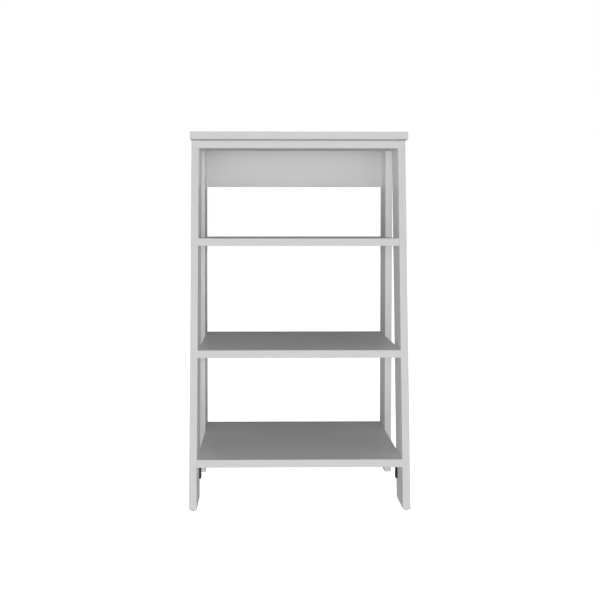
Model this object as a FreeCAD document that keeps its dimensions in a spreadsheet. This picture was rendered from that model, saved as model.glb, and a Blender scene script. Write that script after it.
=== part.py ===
"""Ladder shelf: a free-standing shelf unit in white lacquered board.

Two upright rear legs and two leaning front legs carry three shelves and a
top board. A flat rail and a deep panel tie the legs together under the top.
The boards are joined by dowels and cam fittings, and two steel corner
brackets stiffen the lowest shelf.

Frame: millimetres, +Z up, +Y to the back, +X to the right, with the origin
on the floor under the middle of the unit.
"""
import FreeCAD, Part
import os
import Sketcher

PARTS_FOLDER = "parts"

DRIVING_SIZES = {
    # Whole unit
    "width": 520.0,
    "height": 894.0,
    "foot_depth": 396.0,
    "top_depth": 341.0,
    "board": 18.0,
    "edge_round": 1.0,
    # Legs
    "leg_width": 95.0,
    "lean_run": 98.3,
    # Tops of the three shelves above the floor
    "lower_level": 119.5,
    "middle_level": 373.5,
    "upper_level": 639.5,
    # Ties under the top board
    "rail_width": 70.0,
    "panel_drop": 98.0,
    # Dowels
    "dowel_diameter": 8.0,
    "dowel_chamfer": 0.8,
    "dowel_in_face": 10.0,
    "dowel_in_end": 20.0,
    # Cam bolts and cam discs
    "bolt_thread": 5.0,
    "bolt_grip": 11.0,
    "bolt_shank": 6.0,
    "bolt_neck": 4.0,
    "bolt_head": 6.8,
    "bolt_bore": 8.0,
    "neck_before_cam": 5.0,
    "head_before_cam": 2.0,
    "head_past_cam": 1.0,
    "cam_diameter": 15.0,
    "cam_depth": 12.5,
    "cam_setback": 24.0,
    "bolt_way_past_cam": 4.0,
    "cam_driver": 6.5,
    "cam_driver_slot": 1.4,
    "cam_driver_depth": 2.2,
    # Places of the fittings along a joint, from its outer edge
    "shelf_bolt_inset": 30.0,
    "shelf_dowel_inset": 64.0,
    "rail_bolt_inset": 16.0,
    "rail_dowel_inset": 54.0,
    "panel_bolt_inset": 34.0,
    "panel_dowel_inset": 70.0,
    "panel_top_bolt_spread": 150.0,
    "top_dowel_inset": 36.0,
    "top_dowel_pitch": 44.0,
    # Screws up through the rail into the top board
    "rail_screw_spread": 160.0,
    "rail_screw_length": 30.0,
    "rail_screw_diameter": 4.0,
    "rail_screw_head": 8.0,
    "rail_screw_cone": 2.2,
    # Corner brackets under the lowest shelf
    "bracket_drop": 50.0,
    "bracket_reach": 42.0,
    "bracket_width": 16.0,
    "bracket_steel": 4.0,
    "bracket_bend": 4.0,
    "bracket_corner": 6.0,
    "bracket_setback": 84.0,
    "bracket_near_hole": 18.0,
    "bracket_far_hole": 10.0,
    "bracket_hole": 4.4,
    "bracket_screw_diameter": 4.0,
    "bracket_screw_length": 13.0,
    "bracket_screw_head": 7.6,
    "bracket_screw_dome": 1.2,
    "bracket_screw_crown": 4.0,
    "bracket_screw_shoulder": 6.4,
    "bracket_screw_shoulder_height": 0.8,
    "bracket_screw_rim": 0.3,
    # Glides nailed under the feet
    "glide_height": 4.5,
    "glide_diameter": 9.0,
    "glide_sole": 7.4,
    "glide_round": 0.8,
    "glide_inset": 10.5,
    "nail_diameter": 2.2,
    "nail_grip": 15.0,
    "nail_head": 6.0,
    "nail_head_thickness": 1.0,
    "nail_head_height": 1.4,
}

LEVELS = {
    "lower": "Sizes.lower_level",
    "middle": "Sizes.middle_level",
    "upper": "Sizes.upper_level",
}
SIDES = {"left": -1, "right": 1}

INNER = "(Sizes.width / 2 - Sizes.board)"
LEG_MIDDLE = "(Sizes.width / 2 - Sizes.board / 2)"
BACK = "(Sizes.foot_depth / 2)"
FOOT = "Sizes.glide_height"
LEG_TOP = "(Sizes.height - Sizes.board)"
LEG_LENGTH = "(Sizes.height - Sizes.board - Sizes.glide_height)"
LEAN_LENGTH = f"sqrt(Sizes.lean_run ^ 2 + {LEG_LENGTH} ^ 2)"
FRONT_LEG_SPAN = f"(Sizes.leg_width * {LEAN_LENGTH} / {LEG_LENGTH})"
RAIL_FRONT = "(Sizes.lean_run - Sizes.foot_depth / 2)"
RAIL_MIDDLE = f"({LEG_TOP} - Sizes.board / 2)"
PANEL_MIDDLE = f"({BACK} - Sizes.board / 2)"
BRACKET_TOP = "(Sizes.lower_level - Sizes.board)"
BRACKET_Y = "(Sizes.bracket_setback - Sizes.foot_depth / 2 + Sizes.bracket_width / 2)"
STEEL_FACE = f"({INNER} - Sizes.bracket_steel)"
STEEL_UNDERSIDE = f"({BRACKET_TOP} - Sizes.bracket_steel)"
SCREW_GRIP = "(Sizes.bracket_screw_length - Sizes.bracket_steel)"
RAIL_UNDERSIDE = f"({LEG_TOP} - Sizes.board)"
RAIL_SCREW_Y = f"({RAIL_FRONT} + Sizes.rail_width / 2)"

# Tolerances of the tests below, in millimetres unless it is a cosine or a volume
NEARLY_ZERO = 1e-9
SAME_PLACE = 0.1
PARALLEL_COSINE = 0.999
SMALLEST_CUT = 1.0

TURNS = {
    "+x": FreeCAD.Rotation(FreeCAD.Vector(0, 1, 0), 90),
    "-x": FreeCAD.Rotation(FreeCAD.Vector(0, 1, 0), -90),
    "-y": FreeCAD.Rotation(FreeCAD.Vector(1, 0, 0), 90),
    "+z": FreeCAD.Rotation(),
    "-z": FreeCAD.Rotation(FreeCAD.Vector(1, 0, 0), 180),
}

doc = FreeCAD.newDocument("ladder_shelf")
sheet = doc.addObject("Spreadsheet::Sheet", "Sizes")
for row, (alias, size) in enumerate(DRIVING_SIZES.items(), start=1):
    sheet.set(f"A{row}", alias)
    sheet.set(f"B{row}", str(size))
    sheet.setAlias(f"B{row}", alias)
doc.recompute()

nodes = []


def number(expression):
    """The present value of an expression of the sheet's cells."""
    return float(sheet.evalExpression(expression))


def times(sign, expression):
    """An expression with its sign turned for the left side."""
    return expression if sign > 0 else f"-({expression})"


def front_face(height):
    """Y of the leaning front faces at a height above the floor."""
    return f"(({height} - {FOOT}) * Sizes.lean_run / {LEG_LENGTH} - Sizes.foot_depth / 2)"


def keep(piece, label):
    """Name a finished piece and list it for export."""
    piece.Label = label
    nodes.append(piece)
    return piece


# ---------------------------------------------------------------- modelling helpers


def place(piece, x="0", y="0", z="0", turn="+z"):
    """Put a piece at a place given by expressions, turned so its Z runs along turn."""
    piece.Placement = FreeCAD.Placement(FreeCAD.Vector(), TURNS[turn])
    for axis, expression in zip("xyz", (x, y, z)):
        piece.setExpression(f"Placement.Base.{axis}", expression)
    return piece


def pin(sketch, corner, kind, axis, expression):
    """Hold one coordinate of an outline's corner to an expression."""
    value = number(expression)
    if abs(value) < NEARLY_ZERO:
        sketch.addConstraint(Sketcher.Constraint("PointOnObject", corner, 1, axis))
        return
    ends = (-1, 1, corner, 1) if value > 0 else (corner, 1, -1, 1)
    index = sketch.addConstraint(Sketcher.Constraint(kind, *ends, abs(value)))
    sketch.setExpression(f"Constraints[{index}]", times(value, expression))


def outline(body, plane, corners):
    """A closed straight-sided outline on one of the body's own planes."""
    sketch = body.newObject("Sketcher::SketchObject", "Outline")
    support = next(item for item in body.Origin.OriginFeatures if item.Role == plane)
    sketch.AttachmentSupport = [(support, "")]
    sketch.MapMode = "FlatFace"
    points = [FreeCAD.Vector(number(across), number(up), 0) for across, up in corners]
    following = points[1:] + points[:1]
    for start, end in zip(points, following):
        sketch.addGeometry(Part.LineSegment(start, end))
    for side in range(len(points)):
        sketch.addConstraint(Sketcher.Constraint("Coincident", side, 2, (side + 1) % len(points), 1))
    for corner, (across, up) in enumerate(corners):
        pin(sketch, corner, "DistanceX", -2, across)
        pin(sketch, corner, "DistanceY", -1, up)
    return sketch


def padded_body(name, plane, corners, thickness):
    """A body padded evenly to both sides of one of its planes."""
    body = doc.addObject("PartDesign::Body", name)
    pad = body.newObject("PartDesign::Pad", "Pad")
    pad.Profile = outline(body, plane, corners)
    pad.SideType = "Symmetric"
    pad.setExpression("Length", thickness)
    doc.recompute()
    return body


def turned_body(name, corners):
    """A body turned about its Z axis, from corners of radius and height."""
    body = doc.addObject("PartDesign::Body", name)
    sketch = outline(body, "XZ_Plane", corners)
    revolution = body.newObject("PartDesign::Revolution", "Turning")
    revolution.Profile = sketch
    revolution.ReferenceAxis = (sketch, ["V_Axis"])
    revolution.Angle = 360
    doc.recompute()
    return body


def runs_along(edge, direction):
    """Whether a straight edge is parallel to a direction."""
    if edge.Curve.TypeId != "Part::GeomLine":
        return False
    return abs(edge.tangentAt(edge.FirstParameter).dot(direction)) > PARALLEL_COSINE


def lies_at(value, target):
    """Whether a coordinate is at a place, within the tolerance."""
    return abs(value - target) < SAME_PLACE


def ease_edges(body, chosen, radius):
    """Round the edges of a body that pass a test."""
    base = body.Tip
    names = [f"Edge{n}" for n, edge in enumerate(base.Shape.Edges, start=1) if chosen(edge)]
    fillet = body.newObject("PartDesign::Fillet", "Easing")
    fillet.Base = (base, names)
    fillet.setExpression("Radius", radius)
    doc.recompute()
    return body


def bore(diameter, depth, x, y, z, turn):
    """A drilled hole's solid, from its mouth inwards."""
    drill = doc.addObject("Part::Cylinder", "Bore")
    drill.setExpression("Radius", f"{diameter} / 2")
    drill.setExpression("Height", depth)
    return place(drill, x, y, z, turn)


def drilled(body, bores, label):
    """The body with its bores cut out, as a finished piece."""
    tools = doc.addObject("Part::MultiFuse", "Bores")
    tools.Shapes = bores
    cut = doc.addObject("Part::Cut", "Drilled")
    cut.Base = body
    cut.Tool = tools
    doc.recompute()
    if cut.Shape.Volume > body.Shape.Volume - SMALLEST_CUT:
        raise RuntimeError(f"{label}: the bores cut nothing")
    return keep(cut, label)


def group(pattern, spots, label):
    """Identical fittings in one node: separate solids, each at its own spot and turn."""
    solids = []
    for x, y, z, turn in spots:
        solid = pattern.Shape.Solids[0].copy()
        base = FreeCAD.Vector(number(x), number(y), number(z))
        solid.Placement = FreeCAD.Placement(base, TURNS[turn]).multiply(solid.Placement)
        solids.append(solid)
    feature = doc.addObject("Part::Feature", "Group")
    feature.Shape = Part.makeCompound(solids)
    return keep(feature, label)


# ---------------------------------------------------------------- places of the fittings


def inward(sign):
    """The turn that points from a side's inner face towards the middle."""
    return "-x" if sign > 0 else "+x"


def outward(sign):
    """The turn that points from a side's inner face into its leg."""
    return "+x" if sign > 0 else "-x"


def shelf_spots(level, inset):
    """The four corner joints of a shelf: side sign, leg, Y and Z."""
    height = f"({level} - Sizes.board / 2)"
    front = f"({front_face(height)} + {inset})"
    back = f"({BACK} - {inset})"
    legs = (("front", front), ("rear", back))
    return [(sign, leg, y, height) for sign in SIDES.values() for leg, y in legs]


def rail_spots(inset):
    """The rail's joints in the front legs."""
    return [(sign, "front", f"({RAIL_FRONT} + {inset})", RAIL_MIDDLE) for sign in SIDES.values()]


def panel_spots(inset):
    """The rear panel's joints in the rear legs."""
    return [(sign, "rear", PANEL_MIDDLE, f"({LEG_TOP} - {inset})") for sign in SIDES.values()]


def top_dowel_spots():
    """Where the legs' top ends are dowelled into the top board: sign, leg, Y."""
    front = f"({RAIL_FRONT} + Sizes.top_dowel_inset)"
    back = f"({BACK} - Sizes.top_dowel_inset)"
    rows = [("front", front), ("front", f"({front} + Sizes.top_dowel_pitch)")]
    rows += [("rear", back), ("rear", f"({back} - Sizes.top_dowel_pitch)")]
    return [(sign, leg, y) for sign in SIDES.values() for leg, y in rows]


def bracket_drops():
    """Depths of a bracket's two screws below the shelf, and their reach along it."""
    far_drop = "(Sizes.bracket_drop - Sizes.bracket_far_hole)"
    far_reach = "(Sizes.bracket_reach - Sizes.bracket_far_hole)"
    return ["Sizes.bracket_near_hole", far_drop], ["Sizes.bracket_near_hole", far_reach]


def bracket_screw_spots(sign):
    """One bracket's four screws, on the faces of its steel: two outwards, two upwards."""
    drops, reaches = bracket_drops()
    spots = [(times(sign, STEEL_FACE), BRACKET_Y, f"({BRACKET_TOP} - {depth})", outward(sign))
             for depth in drops]
    spots += [(times(sign, f"({INNER} - {distance})"), BRACKET_Y, STEEL_UNDERSIDE, "+z")
              for distance in reaches]
    return spots


BOLT_SPOTS = {f"{name}_shelf": shelf_spots(level, "Sizes.shelf_bolt_inset")
              for name, level in LEVELS.items()}
BOLT_SPOTS["rail"] = rail_spots("Sizes.rail_bolt_inset")
BOLT_SPOTS["panel"] = panel_spots("Sizes.panel_bolt_inset")
DOWEL_SPOTS = {f"{name}_shelf": shelf_spots(level, "Sizes.shelf_dowel_inset")
               for name, level in LEVELS.items()}
DOWEL_SPOTS["rail"] = rail_spots("Sizes.rail_dowel_inset")
DOWEL_SPOTS["panel"] = panel_spots("Sizes.panel_dowel_inset")
PANEL_TOP_BOLTS = [times(sign, "Sizes.panel_top_bolt_spread") for sign in SIDES.values()]
RAIL_SCREWS = ["-Sizes.rail_screw_spread", "0", "Sizes.rail_screw_spread"]
GLIDE_ROWS = {
    "front": "(Sizes.glide_inset - Sizes.foot_depth / 2)",
    "rear": f"({BACK} - Sizes.glide_inset)",
}


def bores_into_leg(sign, leg):
    """Every bore in one leg: bolts and dowels across, top dowels and nail upright."""
    face = times(sign, INNER)
    middle = times(sign, LEG_MIDDLE)
    bores = []
    for spots in BOLT_SPOTS.values():
        bores += [bore("Sizes.bolt_thread", "Sizes.bolt_grip", face, y, z, outward(sign))
                  for side, owner, y, z in spots if (side, owner) == (sign, leg)]
    for spots in DOWEL_SPOTS.values():
        bores += [bore("Sizes.dowel_diameter", "Sizes.dowel_in_face", face, y, z, outward(sign))
                  for side, owner, y, z in spots if (side, owner) == (sign, leg)]
    bores += [bore("Sizes.dowel_diameter", "Sizes.dowel_in_end", middle, y, LEG_TOP, "-z")
              for side, owner, y in top_dowel_spots() if (side, owner) == (sign, leg)]
    bores.append(bore("Sizes.nail_diameter", "Sizes.nail_grip", middle, GLIDE_ROWS[leg], FOOT, "+z"))
    if leg == "front":
        bores += [bore("Sizes.bracket_screw_diameter", SCREW_GRIP, face, BRACKET_Y,
                       f"({BRACKET_TOP} - {drop})", outward(sign)) for drop in bracket_drops()[0]]
    return bores


def end_bores(key, cam_mouth):
    """The bores in a board's two ends, with a cam's bore crossing each bolt's."""
    bores = []
    for sign, _, y, z in BOLT_SPOTS[key]:
        end_x = times(sign, INNER)
        cam_x = times(sign, f"({INNER} - Sizes.cam_setback)")
        bores.append(bore("Sizes.bolt_bore", "Sizes.cam_setback", end_x, y, z, inward(sign)))
        bores.append(cam_mouth(cam_x, y, z))
    for sign, _, y, z in DOWEL_SPOTS[key]:
        end_x = times(sign, INNER)
        bores.append(bore("Sizes.dowel_diameter", "Sizes.dowel_in_end", end_x, y, z, inward(sign)))
    return bores


def cam_bore_below(x, y, z):
    """A cam's bore from the underside of a flat board whose middle is at z."""
    return bore("Sizes.cam_diameter", "Sizes.cam_depth", x, y, f"({z} - Sizes.board / 2)", "+z")


def cam_bore_behind(x, y, z):
    """A cam's bore from the rear face of an upright board whose middle is at y."""
    return bore("Sizes.cam_diameter", "Sizes.cam_depth", x, f"({y} + Sizes.board / 2)", z, "-y")


# ---------------------------------------------------------------- boards


def front_leg(side, sign):
    """A leaning leg, cut level at its foot and at its top."""
    corners = [
        ("-Sizes.foot_depth / 2", FOOT),
        (f"{FRONT_LEG_SPAN} - Sizes.foot_depth / 2", FOOT),
        (f"{RAIL_FRONT} + {FRONT_LEG_SPAN}", LEG_TOP),
        (RAIL_FRONT, LEG_TOP),
    ]
    body = padded_body(f"front_leg_{side}_body", "YZ_Plane", corners, "Sizes.board")
    slope = FreeCAD.Vector(0, number("Sizes.lean_run"), number(LEG_LENGTH)).normalize()
    ease_edges(body, lambda edge: runs_along(edge, slope), "Sizes.edge_round")
    place(body, x=times(sign, LEG_MIDDLE))
    drilled(body, bores_into_leg(sign, "front"), f"front_leg_{side}")


def rear_leg(side, sign):
    """An upright leg, flush with the back."""
    corners = [
        (f"{BACK} - Sizes.leg_width", FOOT),
        (BACK, FOOT),
        (BACK, LEG_TOP),
        (f"{BACK} - Sizes.leg_width", LEG_TOP),
    ]
    body = padded_body(f"rear_leg_{side}_body", "YZ_Plane", corners, "Sizes.board")
    upright = FreeCAD.Vector(0, 0, 1)
    ease_edges(body, lambda edge: runs_along(edge, upright), "Sizes.edge_round")
    place(body, x=times(sign, LEG_MIDDLE))
    drilled(body, bores_into_leg(sign, "rear"), f"rear_leg_{side}")


def shelf(name, level):
    """A shelf between the legs, its front edge bevelled flush with their faces."""
    underside = f"({level} - Sizes.board)"
    corners = [
        (front_face(underside), underside),
        (BACK, underside),
        (BACK, level),
        (front_face(level), level),
    ]
    body = padded_body(f"{name}_shelf_body", "YZ_Plane", corners, f"2 * {INNER}")
    across = FreeCAD.Vector(1, 0, 0)
    ease_edges(body, lambda edge: runs_along(edge, across), "Sizes.edge_round")
    bores = end_bores(f"{name}_shelf", cam_bore_below)
    if name == "lower":
        screws = [times(sign, f"({INNER} - {reach})")
                  for sign in SIDES.values() for reach in bracket_drops()[1]]
        bores += [bore("Sizes.bracket_screw_diameter", SCREW_GRIP, x, BRACKET_Y, BRACKET_TOP, "+z")
                  for x in screws]
    drilled(body, bores, f"{name}_shelf")


def front_top_rail():
    """The flat rail under the top board, between the front legs."""
    corners = [
        (RAIL_FRONT, RAIL_UNDERSIDE),
        (f"{RAIL_FRONT} + Sizes.rail_width", RAIL_UNDERSIDE),
        (f"{RAIL_FRONT} + Sizes.rail_width", LEG_TOP),
        (RAIL_FRONT, LEG_TOP),
    ]
    body = padded_body("front_top_rail_body", "YZ_Plane", corners, f"2 * {INNER}")
    across = FreeCAD.Vector(1, 0, 0)
    low = number(RAIL_UNDERSIDE)
    ease_edges(body, lambda edge: runs_along(edge, across) and lies_at(edge.CenterOfMass.z, low),
               "Sizes.edge_round")
    bores = end_bores("rail", cam_bore_below)
    for x in RAIL_SCREWS:
        spot = (x, RAIL_SCREW_Y, RAIL_UNDERSIDE)
        bores.append(bore("Sizes.rail_screw_diameter", "Sizes.board", *spot, "+z"))
        bores.append(countersink(*spot))
    drilled(body, bores, "front_top_rail")


def countersink(x, y, z):
    """The cone that a countersunk head sits in, wide at the mouth."""
    cone = doc.addObject("Part::Cone", "Countersink")
    cone.setExpression("Radius1", "Sizes.rail_screw_head / 2")
    cone.setExpression("Radius2", "Sizes.rail_screw_diameter / 2")
    cone.setExpression("Height", "Sizes.rail_screw_cone")
    return place(cone, x, y, z)


def rear_top_panel():
    """The deep panel under the top board, between the rear legs and flush with them."""
    corners = [
        (f"{BACK} - Sizes.board", f"{LEG_TOP} - Sizes.panel_drop"),
        (BACK, f"{LEG_TOP} - Sizes.panel_drop"),
        (BACK, LEG_TOP),
        (f"{BACK} - Sizes.board", LEG_TOP),
    ]
    body = padded_body("rear_top_panel_body", "YZ_Plane", corners, f"2 * {INNER}")
    across = FreeCAD.Vector(1, 0, 0)
    low = number(f"{LEG_TOP} - Sizes.panel_drop")
    ease_edges(body, lambda edge: runs_along(edge, across) and lies_at(edge.CenterOfMass.z, low),
               "Sizes.edge_round")
    bores = end_bores("panel", cam_bore_behind)
    for x in PANEL_TOP_BOLTS:
        bores.append(bore("Sizes.bolt_bore", "Sizes.cam_setback", x, PANEL_MIDDLE, LEG_TOP, "-z"))
        bores.append(cam_bore_behind(x, PANEL_MIDDLE, f"({LEG_TOP} - Sizes.cam_setback)"))
    drilled(body, bores, "rear_top_panel")


def top_board():
    """The top, flush with the legs at the sides and back and overhanging at the front."""
    half = "Sizes.width / 2"
    front = f"{BACK} - Sizes.top_depth"
    corners = [(f"-{half}", front), (half, front), (half, BACK), (f"-{half}", BACK)]
    body = padded_body("top_board_body", "XY_Plane", corners, "Sizes.board")
    ease_edges(body, lambda edge: True, "Sizes.edge_round")
    place(body, z="Sizes.height - Sizes.board / 2")
    dowels = [(times(sign, LEG_MIDDLE), y) for sign, _, y in top_dowel_spots()]
    bores = [bore("Sizes.dowel_diameter", "Sizes.dowel_in_face", x, y, LEG_TOP, "+z") for x, y in dowels]
    bores += [bore("Sizes.bolt_thread", "Sizes.bolt_grip", x, PANEL_MIDDLE, LEG_TOP, "+z")
              for x in PANEL_TOP_BOLTS]
    screw_grip = "(Sizes.rail_screw_length - Sizes.board)"
    bores += [bore("Sizes.rail_screw_diameter", screw_grip, x, RAIL_SCREW_Y, LEG_TOP, "+z")
              for x in RAIL_SCREWS]
    drilled(body, bores, "top_board")


# ---------------------------------------------------------------- fittings


def dowel_groups():
    """Chamfered beech dowels, each across one joint: long half in the end grain."""
    radius = "Sizes.dowel_diameter / 2"
    slim = f"{radius} - Sizes.dowel_chamfer"
    dowel = turned_body("dowel_pattern", [
        ("0", "-Sizes.dowel_in_face"),
        (slim, "-Sizes.dowel_in_face"),
        (radius, "Sizes.dowel_chamfer - Sizes.dowel_in_face"),
        (radius, "Sizes.dowel_in_end - Sizes.dowel_chamfer"),
        (slim, "Sizes.dowel_in_end"),
        ("0", "Sizes.dowel_in_end"),
    ])
    for key, spots in DOWEL_SPOTS.items():
        places = [(times(sign, INNER), y, z, inward(sign)) for sign, _, y, z in spots]
        group(dowel, places, f"{key}_dowels")
    top_spots = [(times(sign, LEG_MIDDLE), y, LEG_TOP, "-z") for sign, _, y in top_dowel_spots()]
    group(dowel, top_spots, "top_board_dowels")


def cam_bolt_groups():
    """Cam bolts: thread in one board's face, shank and waisted head in the other's end."""
    shank = "Sizes.bolt_shank / 2"
    neck = "Sizes.bolt_neck / 2"
    head = "Sizes.bolt_head / 2"
    neck_start = "Sizes.cam_setback - Sizes.neck_before_cam"
    head_start = "Sizes.cam_setback - Sizes.head_before_cam"
    tip = "Sizes.cam_setback + Sizes.head_past_cam"
    bolt = turned_body("cam_bolt_pattern", [
        ("0", "-Sizes.bolt_grip"),
        ("Sizes.bolt_thread / 2", "-Sizes.bolt_grip"),
        ("Sizes.bolt_thread / 2", "0"),
        (shank, "0"),
        (shank, neck_start),
        (neck, neck_start),
        (neck, head_start),
        (head, head_start),
        (head, tip),
        ("0", tip),
    ])
    for key, spots in BOLT_SPOTS.items():
        places = [(times(sign, INNER), y, z, inward(sign)) for sign, _, y, z in spots]
        if key == "panel":
            places += [(x, PANEL_MIDDLE, LEG_TOP, "-z") for x in PANEL_TOP_BOLTS]
        group(bolt, places, f"{key}_cam_bolts")


def cam_disc(name, opening):
    """A cam disc with its driver cross at the mouth and a way in for the bolt."""
    disc = doc.addObject("Part::Cylinder", f"{name}_blank")
    disc.setExpression("Radius", "Sizes.cam_diameter / 2")
    disc.setExpression("Height", "Sizes.cam_depth")
    way = bore("Sizes.bolt_bore", "(Sizes.cam_diameter / 2 + Sizes.bolt_way_past_cam)",
               times(opening, "-Sizes.bolt_way_past_cam"), "0", "Sizes.board / 2", outward(opening))
    slots = []
    for length, breadth in (("cam_driver", "cam_driver_slot"), ("cam_driver_slot", "cam_driver")):
        slot = doc.addObject("Part::Box", "DriverSlot")
        slot.setExpression("Length", f"Sizes.{length}")
        slot.setExpression("Width", f"Sizes.{breadth}")
        slot.setExpression("Height", "Sizes.cam_driver_depth")
        slots.append(place(slot, x=f"-Sizes.{length} / 2", y=f"-Sizes.{breadth} / 2"))
    hollow = doc.addObject("Part::MultiFuse", "CamHollow")
    hollow.Shapes = [way] + slots
    cam = doc.addObject("Part::Cut", name)
    cam.Base = disc
    cam.Tool = hollow
    doc.recompute()
    return cam


def cam_groups():
    """Zinc cams: under the shelves and the rail, and on the panel's rear face."""
    cams = {sign: cam_disc(f"cam_{side}_pattern", sign) for side, sign in SIDES.items()}
    for key, spots in BOLT_SPOTS.items():
        solids = []
        for sign, _, y, z in spots:
            across = times(sign, f"({INNER} - Sizes.cam_setback)")
            spot = FreeCAD.Vector(number(across), number(y), number(z))
            solids.append(set_cam(cams[sign], spot, key == "panel"))
        if key == "panel":
            for x in PANEL_TOP_BOLTS:
                height = number(f"{LEG_TOP} - Sizes.cam_setback")
                spot = FreeCAD.Vector(number(x), number(PANEL_MIDDLE), height)
                solids.append(set_cam(cams[1], spot, True, TURNS["-x"]))
        feature = doc.addObject("Part::Feature", "Cams")
        feature.Shape = Part.makeCompound(solids)
        keep(feature, f"{key}_cams")


def set_cam(pattern, spot, behind, turn=FreeCAD.Rotation()):
    """A cam at a bolt's end: its mouth below, or behind an upright board."""
    half = number("Sizes.board / 2")
    solid = pattern.Shape.Solids[0].copy()
    if behind:
        mouth = spot + FreeCAD.Vector(0, half, 0)
        solid.Placement = FreeCAD.Placement(mouth, turn.multiply(TURNS["-y"]))
    else:
        solid.Placement = FreeCAD.Placement(spot - FreeCAD.Vector(0, 0, half), turn)
    return solid


def rail_screws():
    """Countersunk screws up through the rail into the top board."""
    radius = "Sizes.rail_screw_diameter / 2"
    screw = turned_body("rail_screw_pattern", [
        ("0", "0"),
        ("Sizes.rail_screw_head / 2", "0"),
        (radius, "Sizes.rail_screw_cone"),
        (radius, "Sizes.rail_screw_length - Sizes.rail_screw_diameter"),
        ("0", "Sizes.rail_screw_length"),
    ])
    group(screw, [(x, RAIL_SCREW_Y, RAIL_UNDERSIDE, "+z") for x in RAIL_SCREWS], "rail_screws")


def corner_bracket(side, sign):
    """A bent steel strip: one leg down the front leg's inner face, one under the shelf."""
    reach = f"({INNER} - Sizes.bracket_reach)"
    drop = f"({BRACKET_TOP} - Sizes.bracket_drop)"
    corners = [
        (times(sign, INNER), BRACKET_TOP),
        (times(sign, INNER), drop),
        (times(sign, STEEL_FACE), drop),
        (times(sign, STEEL_FACE), STEEL_UNDERSIDE),
        (times(sign, reach), STEEL_UNDERSIDE),
        (times(sign, reach), BRACKET_TOP),
    ]
    body = padded_body(f"corner_bracket_{side}_body", "XZ_Plane", corners, "Sizes.bracket_width")
    inner_corner = FreeCAD.Vector(sign * number(STEEL_FACE), 0, number(STEEL_UNDERSIDE))
    along = FreeCAD.Vector(0, 1, 0)
    ease_edges(body, lambda edge: runs_along(edge, along)
               and edge.CenterOfMass.distanceToPoint(inner_corner) < SAME_PLACE, "Sizes.bracket_bend")
    tip_x, tip_z = sign * number(reach), number(drop)
    across = FreeCAD.Vector(1, 0, 0)
    upright = FreeCAD.Vector(0, 0, 1)
    ease_edges(body, lambda edge: (runs_along(edge, across) and lies_at(edge.CenterOfMass.z, tip_z))
               or (runs_along(edge, upright) and lies_at(edge.CenterOfMass.x, tip_x)),
               "Sizes.bracket_corner")
    place(body, y=BRACKET_Y)
    bores = [bore("Sizes.bracket_hole", "Sizes.bracket_steel", x, y, z, turn)
             for x, y, z, turn in bracket_screw_spots(sign)]
    drilled(body, bores, f"corner_bracket_{side}")


def bracket_screws():
    """Dome-headed screws through the brackets: two into each leg, two into the shelf."""
    radius = "Sizes.bracket_screw_diameter / 2"
    head = "Sizes.bracket_screw_head / 2"
    dome = "Sizes.bracket_screw_dome"
    screw = turned_body("bracket_screw_pattern", [
        ("0", f"-{dome}"),
        ("Sizes.bracket_screw_crown / 2", f"-{dome}"),
        ("Sizes.bracket_screw_shoulder / 2", "-Sizes.bracket_screw_shoulder_height"),
        (head, "-Sizes.bracket_screw_rim"),
        (head, "0"),
        (radius, "0"),
        (radius, "Sizes.bracket_screw_length - Sizes.bracket_screw_diameter"),
        ("0", "Sizes.bracket_screw_length"),
    ])
    spots = [spot for sign in SIDES.values() for spot in bracket_screw_spots(sign)]
    group(screw, spots, "bracket_screws")


def glides():
    """Plastic glides moulded round a nail, one under the outer end of each foot."""
    nail_radius = "Sizes.nail_diameter / 2"
    nail = turned_body("glide_nail_pattern", [
        ("0", "Sizes.nail_head_height"),
        ("Sizes.nail_head / 2", "Sizes.nail_head_height"),
        ("Sizes.nail_head / 2", "Sizes.nail_head_height + Sizes.nail_head_thickness"),
        (nail_radius, "Sizes.nail_head_height + Sizes.nail_head_thickness"),
        (nail_radius, "Sizes.glide_height + Sizes.nail_grip - Sizes.nail_diameter"),
        ("0", "Sizes.glide_height + Sizes.nail_grip"),
    ])
    spots = []
    for row, y in GLIDE_ROWS.items():
        for side, sign in SIDES.items():
            spots.append((times(sign, LEG_MIDDLE), y, "0", "+z"))
            glide = turned_body(f"{row}_{side}_glide_body", [
                ("0", "0"),
                ("Sizes.glide_sole / 2", "0"),
                ("Sizes.glide_diameter / 2", "Sizes.glide_round"),
                ("Sizes.glide_diameter / 2", "Sizes.glide_height"),
                ("0", "Sizes.glide_height"),
            ])
            place(glide, times(sign, LEG_MIDDLE), y)
            x = times(sign, LEG_MIDDLE)
            cavity = bore("Sizes.nail_diameter", "(Sizes.glide_height - Sizes.nail_head_height)",
                          x, y, "Sizes.nail_head_height", "+z")
            head = bore("Sizes.nail_head", "Sizes.nail_head_thickness",
                        x, y, "Sizes.nail_head_height", "+z")
            drilled(glide, [cavity, head], f"{row}_{side}_glide")
    group(nail, spots, "glide_nails")


# ---------------------------------------------------------------- the whole unit


def check_document():
    """Stop if any object failed, or any piece is empty or broken."""
    for item in doc.Objects:
        if "Invalid" in item.State or "Error" in item.State:
            raise RuntimeError(f"{item.Name} ({item.Label}) failed: {item.State}")
    for piece in nodes:
        if piece.Shape.isNull() or not piece.Shape.isValid() or piece.Shape.Volume <= 0:
            raise RuntimeError(f"{piece.Label} has no valid shape")


def export_pieces():
    """Write every piece to its own STEP file."""
    os.makedirs(PARTS_FOLDER, exist_ok=True)
    for piece in nodes:
        piece.Shape.exportStep(os.path.join(PARTS_FOLDER, f"{piece.Label}.step"))
        print(f"{piece.Label}: {len(piece.Shape.Solids)} solid(s), {piece.Shape.Volume / 1000:.2f} cm3")


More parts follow.
